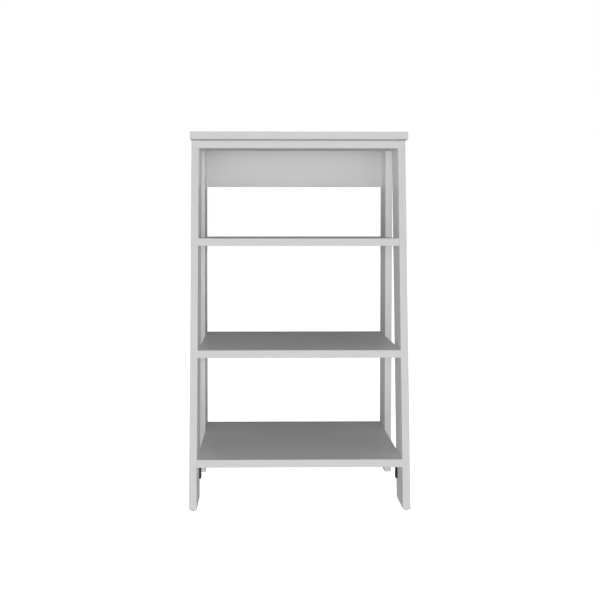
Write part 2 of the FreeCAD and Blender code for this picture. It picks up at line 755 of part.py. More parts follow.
for side_name, side_sign in SIDES.items():
    front_leg(side_name, side_sign)
    rear_leg(side_name, side_sign)
    corner_bracket(side_name, side_sign)
for shelf_name, shelf_level in LEVELS.items():
    shelf(shelf_name, shelf_level)
front_top_rail()
rear_top_panel()
top_board()
dowel_groups()
cam_bolt_groups()
cam_groups()
rail_screws()
bracket_screws()
glides()
doc.recompute()
check_document()
export_pieces()
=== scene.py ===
"""A white lacquered ladder shelf, dressed and lit for a studio view.

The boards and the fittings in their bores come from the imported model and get
their finishes here. The corner brackets, the screws and the glides are made
again as surfaces worked out from formulas, because their pressed and moulded
shapes are finer than the model's plain solids.
"""
import logging
import math
from dataclasses import dataclass
from enum import Enum
from typing import Any, Callable

import bmesh
import bpy
import numpy as np
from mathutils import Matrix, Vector


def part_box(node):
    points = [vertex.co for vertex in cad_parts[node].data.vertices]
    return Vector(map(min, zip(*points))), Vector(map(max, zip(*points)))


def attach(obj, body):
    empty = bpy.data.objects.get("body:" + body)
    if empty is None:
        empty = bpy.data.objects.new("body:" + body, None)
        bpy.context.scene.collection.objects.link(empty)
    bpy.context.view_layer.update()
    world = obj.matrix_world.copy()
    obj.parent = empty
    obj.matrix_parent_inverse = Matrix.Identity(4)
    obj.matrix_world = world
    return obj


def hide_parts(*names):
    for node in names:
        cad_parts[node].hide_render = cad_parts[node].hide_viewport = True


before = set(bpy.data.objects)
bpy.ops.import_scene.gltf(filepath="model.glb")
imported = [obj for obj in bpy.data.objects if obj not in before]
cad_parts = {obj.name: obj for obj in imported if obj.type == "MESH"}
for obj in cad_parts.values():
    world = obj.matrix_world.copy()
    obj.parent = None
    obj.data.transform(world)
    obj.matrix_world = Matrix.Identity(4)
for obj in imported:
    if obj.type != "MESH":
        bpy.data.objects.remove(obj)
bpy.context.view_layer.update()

MILLIMETRE = 0.001
TURN = 2.0 * math.pi
WHITE = (1.0, 1.0, 1.0, 1.0)

# The sRGB curve: straight below the knee, and an offset power above it.
SRGB_LEVELS = 255
SRGB_KNEE = 0.04045
SRGB_SLOPE = 12.92
SRGB_OFFSET = 0.055
SRGB_POWER = 2.4

# The range that nearly all of a noise's values lie in.
MOST_NOISE = (0.3, 0.7)

# Points nearer than this, in metres, are one point.
SAME_POINT = 1e-7

# An edge that turns by more degrees than this stays crisp.
CREASE = 32.0

logging.basicConfig(level=logging.INFO, format="%(levelname)s %(message)s")
log = logging.getLogger("ladder_shelf")

Array = np.ndarray


# ---------------------------------------------------------------- small helpers


def linear(colour: str) -> tuple[float, float, float, float]:
    """Turn an sRGB hex colour into a linear one.

    Args:
        colour: Six hex digits after a hash sign.

    Returns:
        Linear red, green, blue and an alpha of one.
    """
    channels = [int(colour[start : start + 2], 16) / SRGB_LEVELS for start in (1, 3, 5)]
    red, green, blue = (
        ((c + SRGB_OFFSET) / (1 + SRGB_OFFSET)) ** SRGB_POWER if c > SRGB_KNEE else c / SRGB_SLOPE
        for c in channels
    )
    return red, green, blue, 1.0


def per_metre(size_mm: float) -> float:
    """The pattern scale that gives features of a size in millimetres."""
    return 1.0 / (size_mm * MILLIMETRE)


def feed(tree: bpy.types.NodeTree, node: bpy.types.Node, inputs: dict[Any, Any]) -> None:
    """Set or link some of a node's inputs.

    Args:
        tree: The node's tree.
        node: The node.
        inputs: Input names or numbers, each with a value or with a socket to link.
    """
    for name, value in inputs.items():
        if isinstance(value, bpy.types.NodeSocket):
            tree.links.new(value, node.inputs[name])
        else:
            node.inputs[name].default_value = value


def add_node(tree: bpy.types.NodeTree, kind: str, inputs: dict[Any, Any] | None = None,
             **settings: Any) -> bpy.types.Node:
    """Add one node with its settings, and set or link its inputs.

    Args:
        tree: The node tree to add to.
        kind: The node's type name.
        inputs: Input names or numbers, each with a value or with a socket to link.
        settings: Properties of the node itself.

    Returns:
        The new node.
    """
    node = tree.nodes.new(kind)
    for name, value in settings.items():
        setattr(node, name, value)
    feed(tree, node, inputs or {})
    return node


def grid_piece(name: str, points: Array) -> bpy.types.Object:
    """Make a closed piece from rings of points.

    Quads join each ring to the next and the last column to the first. The first
    and last rings are single points repeated, so the ends close, and the
    repeated points are merged.

    Args:
        name: The piece's name.
        points: Rings by columns by three coordinates, in metres.

    Returns:
        The piece's object, with faces pointing outwards.
    """
    rings, columns = points.shape[:2]
    numbers = np.arange(rings * columns).reshape(rings, columns)
    here = numbers[:-1]
    above = numbers[1:]
    quads = np.stack([here, np.roll(here, -1, 1), np.roll(above, -1, 1), above], axis=-1)
    mesh = bpy.data.meshes.new(name)
    mesh.from_pydata(points.reshape(-1, 3).tolist(), [], quads.reshape(-1, 4).tolist())
    shape = bmesh.new()
    shape.from_mesh(mesh)
    bmesh.ops.remove_doubles(shape, verts=shape.verts, dist=SAME_POINT)
    bmesh.ops.recalc_face_normals(shape, faces=shape.faces)
    shape.to_mesh(mesh)
    shape.free()
    mesh.shade_smooth()
    piece = bpy.data.objects.new(name, mesh)
    bpy.context.scene.collection.objects.link(piece)
    return piece


def joined(name: str, pieces: list[bpy.types.Object]) -> bpy.types.Object:
    """Join several closed pieces into one object of separate shells."""
    mesh = bpy.data.meshes.new(name)
    shape = bmesh.new()
    for piece in pieces:
        shape.from_mesh(piece.data)
        bpy.data.objects.remove(piece)
    shape.to_mesh(mesh)
    shape.free()
    mesh.shade_smooth()
    whole = bpy.data.objects.new(name, mesh)
    bpy.context.scene.collection.objects.link(whole)
    return whole


def sharpen(piece: bpy.types.Object, degrees: float = CREASE) -> None:
    """Keep crisp every edge that turns by more than an angle."""
    piece.data.set_sharp_from_angle(angle=math.radians(degrees))


def dress(piece: bpy.types.Object, material: bpy.types.Material) -> None:
    """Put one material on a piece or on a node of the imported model."""
    if not piece.material_slots:
        piece.data.materials.append(material)
    for slot in piece.material_slots:
        slot.material = material


def finish_piece(piece: bpy.types.Object, material: bpy.types.Material, slot: str,
                 *replaced: str) -> None:
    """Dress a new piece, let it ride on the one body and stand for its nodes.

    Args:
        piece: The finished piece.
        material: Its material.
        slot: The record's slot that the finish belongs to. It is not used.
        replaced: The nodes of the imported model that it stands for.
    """
    dress(piece, material)
    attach(piece, "root")
    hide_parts(*replaced)
    faces = len(piece.data.polygons)
    log.info("%s stands for %s, %d faces", piece.name, ", ".join(replaced), faces)


# ---------------------------------------------------------------- finishes


class Recipe:
    """A material under construction, with patterns on the piece's own coordinates."""

    def __init__(self, name: str) -> None:
        """Start a material.

        Args:
            name: The material's name.
        """
        self.material = bpy.data.materials.new(name)
        self.material.use_nodes = True
        self.tree = self.material.node_tree
        self.shader = self.tree.nodes["Principled BSDF"]
        self.place = add_node(self.tree, "ShaderNodeTexCoord").outputs["Object"]

    def noise(self, size_mm: float, detail: float, roughness: float = 0.5,
              place: bpy.types.NodeSocket | None = None) -> bpy.types.NodeSocket:
        """Add cloudy noise.

        Args:
            size_mm: The size of its clouds.
            detail: How many finer layers it has.
            roughness: How strong each layer is beside the one before.
            place: Its coordinates, where they aren't the piece's own.

        Returns:
            The noise, between 0 and 1.
        """
        inputs = {"Vector": self.place if place is None else place, "Scale": per_metre(size_mm),
                  "Detail": detail, "Roughness": roughness}
        return add_node(self.tree, "ShaderNodeTexNoise", inputs).outputs["Fac"]

    def stretched(self, stretch: tuple[float, float, float]) -> bpy.types.NodeSocket:
        """The piece's own coordinates, with each axis scaled."""
        inputs = {"Vector": self.place, "Scale": stretch}
        return add_node(self.tree, "ShaderNodeMapping", inputs).outputs["Vector"]

    def ranged(self, value: bpy.types.NodeSocket, seen: tuple[float, float] = (0.0, 1.0),
               given: tuple[float, float] = (0.0, 1.0)) -> bpy.types.NodeSocket:
        """Stretch one range of values over another.

        Args:
            value: What comes in.
            seen: The lowest and highest values that count. Others are clamped.
            given: What they turn into.

        Returns:
            What comes out.
        """
        inputs = {"Value": value, "From Min": seen[0], "From Max": seen[1],
                  "To Min": given[0], "To Max": given[1]}
        return add_node(self.tree, "ShaderNodeMapRange", inputs).outputs["Result"]

    def tint(self, factor: bpy.types.NodeSocket, first: str, second: str) -> None:
        """Colour the material.

        Args:
            factor: A pattern between 0 and 1.
            first: The colour where the pattern is 0.
            second: The colour where it is 1.
        """
        inputs = {"Factor": factor, "A": linear(first), "B": linear(second)}
        mixed = add_node(self.tree, "ShaderNodeMix", inputs, data_type="RGBA")
        self.give({"Base Color": mixed.outputs["Result"]})

    def bump(self, height: bpy.types.NodeSocket, depth_mm: float,
             over: bpy.types.NodeSocket | None = None) -> bpy.types.NodeSocket:
        """Add a relief too fine to model.

        Args:
            height: A pattern between 0 and 1.
            depth_mm: The relief's depth.
            over: A coarser relief that it lies on.

        Returns:
            The relief.
        """
        inputs = {"Height": height, "Distance": depth_mm * MILLIMETRE}
        if over is not None:
            inputs["Normal"] = over
        return add_node(self.tree, "ShaderNodeBump", inputs).outputs["Normal"]

    def give(self, inputs: dict[str, Any]) -> None:
        """Set or link some of the shader's inputs."""
        feed(self.tree, self.shader, inputs)


@dataclass(frozen=True)
class Lacquer:
    """Sprayed two-part lacquer on medium-density fibreboard, sanded to satin."""

    colour: str = "#E6E6E6"
    shade: str = "#E1E1E2"
    roughness: tuple[float, float] = (0.34, 0.46)
    ior: float = 1.48
    cloud_mm: float = 140.0
    sheen_patch_mm: float = 45.0
    peel_mm: float = 3.2
    peel_depth_mm: float = 0.03
    fibre_mm: float = 1.1
    fibre_depth_mm: float = 0.008

    def material(self) -> bpy.types.Material:
        """Build the lacquer.

        The film's thickness drifts slowly, which clouds the white a little. Its
        gloss changes in hand-sized patches, and it dries with a faint orange
        peel, drawn about twice as coarse as the real one so that it can show.

        Returns:
            The material.
        """
        recipe = Recipe("satin_lacquer_on_fibreboard")
        recipe.tint(recipe.noise(self.cloud_mm, detail=3.0), self.colour, self.shade)
        patch = recipe.noise(self.sheen_patch_mm, detail=2.0)
        gloss = recipe.ranged(patch, MOST_NOISE, self.roughness)
        peel = recipe.bump(recipe.noise(self.peel_mm, detail=1.0), self.peel_depth_mm)
        fibre = recipe.noise(self.fibre_mm, detail=2.0)
        grained = recipe.bump(fibre, self.fibre_depth_mm, over=peel)
        recipe.give({"Roughness": gloss, "Normal": grained, "IOR": self.ior})
        return recipe.material


@dataclass(frozen=True)
class PowderCoat:
    """Black polyester powder, baked on bent steel."""

    colour: str = "#1C1C1E"
    rubbed: str = "#3A3A3D"
    rubbed_flecks: tuple[float, float] = (0.52, 0.78)
    roughness: float = 0.42
    fleck_mm: float = 0.9
    texture_depth_mm: float = 0.06

    def material(self) -> bpy.types.Material:
        """Build the powder coat: a fine leathery texture with lighter high spots."""
        recipe = Recipe("black_powder_coated_steel")
        fleck = recipe.noise(self.fleck_mm, detail=3.0, roughness=0.6)
        recipe.tint(recipe.ranged(fleck, self.rubbed_flecks), self.colour, self.rubbed)
        texture = recipe.bump(fleck, self.texture_depth_mm)
        recipe.give({"Roughness": self.roughness, "Normal": texture})
        return recipe.material


@dataclass(frozen=True)
class Zinc:
    """Zinc, either die-cast or plated on steel."""

    name: str
    colour: str
    passivated: str
    roughness: tuple[float, float]
    bloom_mm: float = 5.0
    pit_mm: float = 0.8
    pit_depth_mm: float = 0.02

    def material(self) -> bpy.types.Material:
        """Build the metal: clouded passivation over a finely pitted surface."""
        recipe = Recipe(self.name)
        bloom = recipe.noise(self.bloom_mm, detail=4.0)
        recipe.tint(bloom, self.colour, self.passivated)
        dull = recipe.ranged(bloom, MOST_NOISE, self.roughness)
        pitted = recipe.bump(recipe.noise(self.pit_mm, detail=2.0), self.pit_depth_mm)
        recipe.give({"Roughness": dull, "Normal": pitted, "Metallic": 1.0})
        return recipe.material


@dataclass(frozen=True)
class Beech:
    """Turned beech dowel rod, left raw."""

    pale: str = "#D8B48A"
    dark: str = "#B98C5E"
    ray_mm: float = 1.2
    ray_depth_mm: float = 0.05
    stretch: tuple[float, float, float] = (0.12, 1.0, 1.0)
    roughness: float = 0.62

    def material(self) -> bpy.types.Material:
        """Build the beech: short darker rays, stretched along X."""
        recipe = Recipe("raw_beech")
        rays = recipe.noise(self.ray_mm, detail=4.0, place=recipe.stretched(self.stretch))
        recipe.tint(rays, self.pale, self.dark)
        raised = recipe.bump(rays, self.ray_depth_mm)
        recipe.give({"Roughness": self.roughness, "Normal": raised})
        return recipe.material


@dataclass(frozen=True)
class Polyethylene:
    """Moulded natural-white polyethylene, a little waxy."""

    colour: str = "#C8C8C5"
    scuffed: str = "#B4B4B0"
    scuff_mm: float = 2.5
    scuffed_patches: tuple[float, float] = (0.45, 0.7)
    roughness: tuple[float, float] = (0.35, 0.6)
    ior: float = 1.51

    def material(self) -> bpy.types.Material:
        """Build the plastic: scuffed patches that are greyer and duller."""
        recipe = Recipe("moulded_polyethylene")
        scuff = recipe.noise(self.scuff_mm, detail=5.0, roughness=0.7)
        worn = recipe.ranged(scuff, self.scuffed_patches)
        recipe.tint(worn, self.colour, self.scuffed)
        dull = recipe.ranged(worn, given=self.roughness)
        recipe.give({"Roughness": dull, "IOR": self.ior})
        return recipe.material


DIE_CAST = Zinc("die_cast_zinc", "#B9BABD", "#9FA1A6", (0.36, 0.52), bloom_mm=4.0)
PLATED = Zinc("zinc_plated_steel", "#C9CACD", "#B4B7BF", (0.24, 0.38), bloom_mm=6.0,
              pit_depth_mm=0.008)


class Slot(Enum):
    """The record's slots that the new pieces' finishes belong to."""

    BRACKET = "dark_steel"
    FITTING = "zinc_steel"
    GLIDE = "white_plastic"


class Side(Enum):
    """The two sides of the unit, as the sign of X."""

    LEFT = -1
    RIGHT = 1

    @property
    def word(self) -> str:
        """The side's name, as the nodes have it."""
        return self.name.lower()


# ---------------------------------------------------------------- dressed nodes of the model


@dataclass
class Boards:
    """The lacquered boards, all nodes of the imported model."""

    names: tuple[str, ...] = (
        "top_board", "upper_shelf", "middle_shelf", "lower_shelf",
        "front_leg_left", "front_leg_right", "rear_leg_left", "rear_leg_right",
        "front_top_rail", "rear_top_panel",
    )
    finish: Lacquer = Lacquer()

    def build(self) -> None:
        """Dress every board."""
        lacquer = self.finish.material()
        for name in self.names:
            dress(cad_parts[name], lacquer)
            log.info("%s is lacquered", name)


@dataclass
class Fittings:
    """Cams, cam bolts, nails and dowels, in their bores."""

    joints: tuple[str, ...] = ("lower_shelf", "middle_shelf", "upper_shelf", "rail", "panel")

    def build(self) -> None:
        """Dress the fittings, each kind in its own metal or wood."""
        cast = DIE_CAST.material()
        plated = PLATED.material()
        beech = Beech().material()
        for joint in self.joints:
            dress(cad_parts[f"{joint}_cams"], cast)
            dress(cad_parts[f"{joint}_cam_bolts"], plated)
            dress(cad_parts[f"{joint}_dowels"], beech)
        dress(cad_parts["top_board_dowels"], beech)
        dress(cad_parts["glide_nails"], plated)
        log.info("fittings of %d joints are dressed", len(self.joints))


# ---------------------------------------------------------------- corner brackets


@dataclass
class CornerBracket:
    """A bent steel strip with a pressed rib in its corner, lengths in metres.

    Edges that turn by more than crease, in degrees, stay crisp.
    """

    side: Side
    steel: float = 4.0 * MILLIMETRE
    inner_bend: float = 4.0 * MILLIMETRE
    tip_round: float = 6.0 * MILLIMETRE
    section_round: float = 0.6 * MILLIMETRE
    rib_height: float = 1.5 * MILLIMETRE
    rib_half_width: float = 2.6 * MILLIMETRE
    rib_reach: float = 7.0 * MILLIMETRE
    tip_rows: int = 24
    run_rows: int = 110
    edge_points: int = 25
    corner_points: int = 5
    crease: float = 50.0

    def centre_line(self, drop: float, reach: float) -> tuple[Array, Array, Array]:
        """The strip's middle line: up the leg, round the bend, in under the shelf.

        Two straight runs are joined by a quarter circle whose radius is the
        inner bend and half the steel. Rows are even along the line, but follow
        even angles of the outline's quarter circles at the two tips.

        Args:
            drop: The upright run's full height.
            reach: The level run's full length.

        Returns:
            Points (inwards from the leg, downwards from the shelf), unit normals
            towards the inner corner, and the distance along the line.
        """
        radius = self.inner_bend + self.steel / 2
        upright = drop - self.steel / 2 - radius
        level = reach - self.steel / 2 - radius
        arc = radius * math.pi / 2
        total = upright + arc + level
        swing = np.linspace(0.0, TURN / 4, self.tip_rows, endpoint=False)
        tip = self.tip_round * (1 - np.cos(swing))
        run = np.linspace(self.tip_round, total - self.tip_round, self.run_rows)
        along = np.concatenate([tip, run, total - tip[::-1]])
        angle = np.clip((along - upright) / radius, 0.0, math.pi / 2)
        past_bend = np.clip(along - upright - arc, 0.0, None)
        before_bend = np.clip(upright - along, 0.0, None)
        inwards = self.steel / 2 + radius * (1 - np.cos(angle)) + past_bend
        down = self.steel / 2 + radius * (1 - np.sin(angle)) + before_bend
        normal = np.stack([np.cos(angle), np.sin(angle)], axis=-1)
        return np.stack([inwards, down], axis=-1), normal, along

    def half_width(self, along: Array, half: float) -> Array:
        """Half the strip's width: full, but a quarter circle's height near each tip."""
        from_tip = np.minimum(along, along[-1] - along)
        inside = np.clip(self.tip_round - from_tip, 0.0, None)
        return half - self.tip_round + np.sqrt(np.clip(self.tip_round**2 - inside**2, 0.0, None))

    def section(self, half: float) -> tuple[Array, Array]:
        """A rectangle with rounded corners, with even points along its edges.

        Half the outline is one wide face between its two round corners. The
        other half is the same turned by half a turn.

        Args:
            half: Half the strip's full width.

        Returns:
            Across factors, in half widths, and heights from the middle line.
        """
        corner = np.linspace(0.0, TURN / 4, self.corner_points)
        flat = half - self.section_round
        rise = self.steel / 2 - self.section_round
        edge = np.linspace(flat, -flat, self.edge_points)[1:-1]
        across = np.concatenate([flat + self.section_round * np.cos(corner), edge,
                                 -flat - self.section_round * np.sin(corner)])
        through = np.concatenate([rise + self.section_round * np.sin(corner),
                                  np.full(edge.size, self.steel / 2),
                                  rise + self.section_round * np.cos(corner)])
        return np.concatenate([across, -across]) / half, np.concatenate([through, -through])

    def build(self, material: bpy.types.Material) -> None:
        """Carry the section along the line, add the rib and close the tips.

        A point is the line's point, plus the across factor times the half width
        in Y, plus the section's height along the normal. The rib lifts it
        towards the inner corner by a bell curve along the strip times a bell
        curve across it.

        Args:
            material: The powder coat.
        """
        low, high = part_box(f"corner_bracket_{self.side.word}")
        leg_face = low.x if self.side is Side.LEFT else high.x
        line, normal, along = self.centre_line(high.z - low.z, high.x - low.x)
        half = self.half_width(along, (high.y - low.y) / 2)
        across, through = self.section((high.y - low.y) / 2)
        sideways = half[:, None] * across[None, :]
        bend = self.inner_bend + self.steel / 2
        middle = along[-1] - (high.x - low.x) + self.steel / 2 + bend - bend * math.pi / 4
        bell = np.exp(-(((along - middle) / self.rib_reach) ** 4))[:, None]
        rib = self.rib_height * bell * np.exp(-((sideways / self.rib_half_width) ** 2))
        lift = through[None, :] + rib
        inwards = line[:, 0:1] + normal[:, 0:1] * lift
        down = line[:, 1:2] + normal[:, 1:2] * lift
        points = np.stack([leg_face - self.side.value * inwards,
                           (low.y + high.y) / 2 + sideways,
                           high.z - down], axis=-1)
        tips = points[[0, -1]].mean(axis=1, keepdims=True).repeat(across.size, axis=1)
        closed = np.concatenate([tips[:1], points, tips[1:]])
        piece = grid_piece(f"pressed_bracket_{self.side.word}", closed)
        sharpen(piece, self.crease)
        finish_piece(piece, material, Slot.BRACKET.value, f"corner_bracket_{self.side.word}")


# ---------------------------------------------------------------- screws


class Head(Enum):
    """How a screw's head is shaped."""

    DOMED = "domed"
    COUNTERSUNK = "countersunk"


@dataclass(frozen=True)
class Screw:
    """A wood screw with a cross recess, lengths in metres.

    dome_fall is how far a dome's height, squared, has fallen at its edge, and
    dome_power is how late it falls.
    """

    head: Head
    head_radius: float
    head_height: float
    shank_radius: float
    length: float
    recess_reach: float = 2.3 * MILLIMETRE
    recess_half_width: float = 0.55 * MILLIMETRE
    recess_depth: float = 1.3 * MILLIMETRE
    recess_edge: float = 0.1 * MILLIMETRE
    recess_power: int = 3
    dome_fall: float = 0.93
    dome_power: float = 2.4
    thread_pitch: float = 1.8 * MILLIMETRE
    thread_height: float = 0.14 * MILLIMETRE
    thread_start: float = 2.0 * MILLIMETRE
    face_rings: int = 26
    shank_rings: int = 90
    tip_rings: int = 6
    columns: int = 96

    def recess(self, radius: Array, turn: Array) -> Array:
        """Depth of the cross recess: two crossed slots that shallow outwards.

        Args:
            radius: Distances from the screw's axis.
            turn: Angles about it.

        Returns:
            Depths below the head's face.
        """
        x = radius * np.cos(turn)
        y = radius * np.sin(turn)
        nearest = np.minimum(np.abs(x), np.abs(y))
        blade = 1 / (1 + np.exp((nearest - self.recess_half_width) / self.recess_edge))
        reach = np.clip(1 - (radius / self.recess_reach) ** self.recess_power, 0.0, 1.0)
        return self.recess_depth * blade * reach

    def surface(self) -> Array:
        """The screw about the Z axis, driven upwards into a surface at zero.

        The face is a polar grid: a dome that stands out of that surface, or a
        flat level with it, less the recess. After it come a dome's rim, the
        shank with a thread that is a cosine of height and turn, and the point,
        as long as the shank is wide. A countersunk head's cone is the one band
        of faces between its face and its shank.

        Returns:
            Rings by columns by three coordinates.
        """
        domed = self.head is Head.DOMED
        turn = np.linspace(0.0, TURN, self.columns, endpoint=False)[None, :]
        all_round = np.zeros_like(turn)
        radius = self.head_radius * np.linspace(0.0, 1.0, self.face_rings)[:, None]
        if domed:
            fall = self.dome_fall * (radius / self.head_radius) ** self.dome_power
            top = -self.head_height * np.sqrt(np.clip(1 - fall, 0.0, 1.0))
        else:
            top = np.zeros_like(radius)
        face_height = top + self.recess(radius, turn)
        seat = 0.0 if domed else self.head_height
        point = 2 * self.shank_radius
        heights = np.linspace(seat, self.length - point, self.shank_rings)[:, None]
        grown = np.clip((heights - seat) / self.thread_start, 0.0, 1.0)
        wave = 0.5 + 0.5 * np.cos(TURN * heights / self.thread_pitch - turn)
        shank = self.shank_radius - self.thread_height * grown * (1 - wave)
        tip = np.linspace(1.0, 0.0, self.tip_rings)[1:, None]
        radii = [radius + all_round, shank, shank[-1:] * tip]
        levels = [face_height, heights + all_round, self.length - point * tip + all_round]
        if domed:
            radii.insert(1, self.head_radius + all_round)
            levels.insert(1, all_round)
        radii = np.concatenate(radii)
        levels = np.concatenate(levels)
        return np.stack([radii * np.cos(turn), radii * np.sin(turn), levels], axis=-1)


@dataclass
class ScrewGroup:
    """Like screws in one node, each at a place and pointing its own way.

    Each is turned by slew, in radians, from the one before.
    """

    name: str
    node: str
    screw: Screw
    slot: Slot
    slew: float = 0.5

    def build(self, spots: list[tuple[Vector, Vector]], material: bpy.types.Material) -> None:
        """Set a screw at every spot.

        The screw's grid is turned by a frame of three axes whose third is the
        screw's direction, so every screw keeps its shape.

        Args:
            spots: Seat points and directions into the wood.
            material: The screws' metal.
        """
        shape = self.screw.surface()
        pieces = []
        for number, (seat, direction) in enumerate(spots):
            along = np.array(direction)
            first = np.roll(along, 1)
            second = np.cross(along, first)
            slew = self.slew * number
            across = math.cos(slew) * first + math.sin(slew) * second
            beside = np.cross(along, across)
            points = np.array(seat) + shape @ np.stack([across, beside, along])
            pieces.append(grid_piece(f"{self.name}_{number}", points))
        piece = joined(self.name, pieces)
        sharpen(piece)
        finish_piece(piece, material, self.slot.value, self.node)


BRACKET_SCREW = Screw(
    Head.DOMED,
    head_radius=3.8 * MILLIMETRE,
    head_height=1.2 * MILLIMETRE,
    shank_radius=2.0 * MILLIMETRE,
    length=13.0 * MILLIMETRE,
    recess_reach=2.0 * MILLIMETRE,
    recess_depth=0.8 * MILLIMETRE,
)
RAIL_SCREW = Screw(
    Head.COUNTERSUNK,
    head_radius=4.0 * MILLIMETRE,
    head_height=2.2 * MILLIMETRE,
    shank_radius=2.0 * MILLIMETRE,
    length=30.0 * MILLIMETRE,
)


@dataclass
class BracketSet:
    """Both corner brackets and their eight dome-headed screws.

    On each arm, near_hole is the first screw's distance from the corner and
    far_hole the second one's from the arm's tip, in metres.
    """

    near_hole: float = 18.0 * MILLIMETRE
    far_hole: float = 10.0 * MILLIMETRE
    screw: Screw = BRACKET_SCREW

    def spots(self) -> list[tuple[Vector, Vector]]:
        """Seats of the screws on the strips, and their ways into leg and shelf."""
        steel = CornerBracket.steel
        spots = []
        for side in Side:
            low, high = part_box(f"corner_bracket_{side.word}")
            middle = (low.y + high.y) / 2
            leg_face = low.x if side is Side.LEFT else high.x
            reach = high.x - low.x
            for depth in (self.near_hole, high.z - low.z - self.far_hole):
                seat = Vector((leg_face - side.value * steel, middle, high.z - depth))
                spots.append((seat, Vector((side.value, 0.0, 0.0))))
            for distance in (self.near_hole, reach - self.far_hole):
                seat = Vector((leg_face - side.value * distance, middle, high.z - steel))
                spots.append((seat, Vector((0.0, 0.0, 1.0))))
        return spots

    def build(self) -> None:
        """Make the brackets and the screws in one black powder coat."""
        coat = PowderCoat().material()
        for side in Side:
            CornerBracket(side).build(coat)
        group = ScrewGroup("domed_bracket_screws", "bracket_screws", self.screw, Slot.BRACKET)
        group.build(self.spots(), coat)


@dataclass
class RailScrews:
    """Three countersunk screws up through the rail."""

    count: int = 3
    screw: Screw = RAIL_SCREW

    def build(self) -> None:
        """Space the screws evenly over the node's own box."""
        low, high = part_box("rail_screws")
        radius = self.screw.head_radius
        places = np.linspace(low.x + radius, high.x - radius, self.count)
        middle = (low.y + high.y) / 2
        spots = [(Vector((x, middle, low.z)), Vector((0.0, 0.0, 1.0))) for x in places]
        group = ScrewGroup("countersunk_rail_screws", "rail_screws", self.screw, Slot.FITTING)
        group.build(spots, PLATED.material())


# ---------------------------------------------------------------- glides


@dataclass
class Glide:
    """A moulded glide under a foot, turned about its nail, lengths in metres."""

    node: str
    sole_radius: float = 3.7 * MILLIMETRE
    gate_radius: float = 1.2 * MILLIMETRE
    gate_depth: float = 0.4 * MILLIMETRE
    collar_step: float = 0.3 * MILLIMETRE
    collar_height: float = 1.0 * MILLIMETRE
    dimple_points: int = 8
    arc_points: int = 14
    columns: int = 72

    def profile(self, radius: float, height: float) -> tuple[Array, Array]:
        """Radius and height of the outline, from the sole's middle to the top's middle.

        A cosine dimple at the moulding gate, a flat sole, a quarter circle up
        to the wall, the wall, and a small step in where it meets the foot.

        Args:
            radius: The glide's outer radius.
            height: Its height.

        Returns:
            Radii and heights.
        """
        dimple = np.linspace(0.0, self.gate_radius, self.dimple_points)
        wave = 0.5 + 0.5 * np.cos(math.pi * dimple / self.gate_radius)
        corner = radius - self.sole_radius
        angle = np.linspace(0.0, math.pi / 2, self.arc_points)
        shoulder = height - self.collar_height
        neck = radius - self.collar_step
        radii = np.concatenate([dimple, self.sole_radius + corner * np.sin(angle),
                                [radius, neck, neck, 0.0]])
        heights = np.concatenate([self.gate_depth * wave, corner * (1 - np.cos(angle)),
                                  [shoulder, shoulder + self.collar_step, height, height]])
        return radii, heights

    def build(self, material: bpy.types.Material) -> None:
        """Turn the outline about the node's own axis.

        Args:
            material: The plastic.
        """
        low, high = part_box(self.node)
        radii, heights = self.profile((high.x - low.x) / 2, high.z - low.z)
        turn = np.linspace(0.0, TURN, self.columns, endpoint=False)
        points = np.stack([(low.x + high.x) / 2 + radii[:, None] * np.cos(turn),
                           (low.y + high.y) / 2 + radii[:, None] * np.sin(turn),
                           low.z + heights[:, None] + 0 * turn], axis=-1)
        piece = grid_piece(f"moulded_{self.node}", points)
        sharpen(piece)
        finish_piece(piece, material, Slot.GLIDE.value, self.node)


@dataclass
class Glides:
    """The four glides."""

    nodes: tuple[str, ...] = (
        "front_left_glide", "front_right_glide", "rear_left_glide", "rear_right_glide",
    )

    def build(self) -> None:
        """Make every glide in one plastic."""
        plastic = Polyethylene().material()
        for node in self.nodes:
            Glide(node).build(plastic)


# ---------------------------------------------------------------- studio


@dataclass(frozen=True)
class SoftBand:
    """A block of directions in which the surround shines.

    Directions are unit vectors from the unit outwards: X to its right, Y to its
    back and Z up. Each range is a lowest and a highest component.
    """

    across: tuple[float, float]
    back: tuple[float, float]
    up: tuple[float, float]
    strength: float


